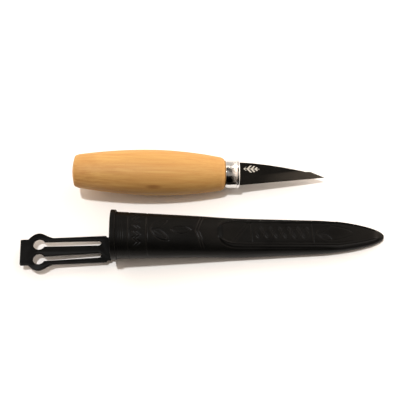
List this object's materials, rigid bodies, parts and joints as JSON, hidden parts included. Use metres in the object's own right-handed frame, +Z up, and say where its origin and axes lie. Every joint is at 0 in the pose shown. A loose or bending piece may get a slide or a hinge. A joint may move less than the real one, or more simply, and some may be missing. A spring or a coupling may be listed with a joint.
{
  "type": "whittling knife",
  "caption": "Short straight-edged whittling knife with an oval barrel handle and a bright ferrule, beside its hollow moulded belt sheath with a folding button hanger.",
  "frame": {"origin": "bottom centre of the bounding box of the knife and sheath together, on the surface that they lie on", "axes": "+X towards the blade's tip and the sheath's closed tip, +Y from the sheath towards the knife, +Z up out of the surface"},
  "size_m": [0.2288, 0.0788, 0.0292],
  "materials": {
    "handle_wood": "turned and lightly oiled pale birch, satin",
    "ferrule_metal": "bright plated, polished",
    "blade_steel": "ground and polished carbon steel with a small etched mark",
    "glue": "cured adhesive",
    "sheath_plastic": "moulded black polypropylene, satin, with an embossed pattern on the front",
    "hanger_plastic": "moulded black polypropylene, satin"
  },
  "bodies": {
    "sheath": {"sheath_body": "sheath_plastic"},
    "hanger": {"belt_hanger": "hanger_plastic"},
    "knife": {"handle": "handle_wood", "ferrule": "ferrule_metal", "blade": "blade_steel", "tang_glue": "glue"}
  },
  "joints": [
    {"name": "hanger_fold", "type": "hinge", "parent": "sheath", "child": "hanger", "pos_m": [-0.05776, -0.0247, 0.004], "axis": [-0.0122, 0.9999, 0], "range_deg": [-92, 87]},
    {"name": "knife_lift", "type": "slide", "parent": "sheath", "child": "knife", "axis": [0, 0, 1], "range_m": [0, 0.08]}
  ]
}
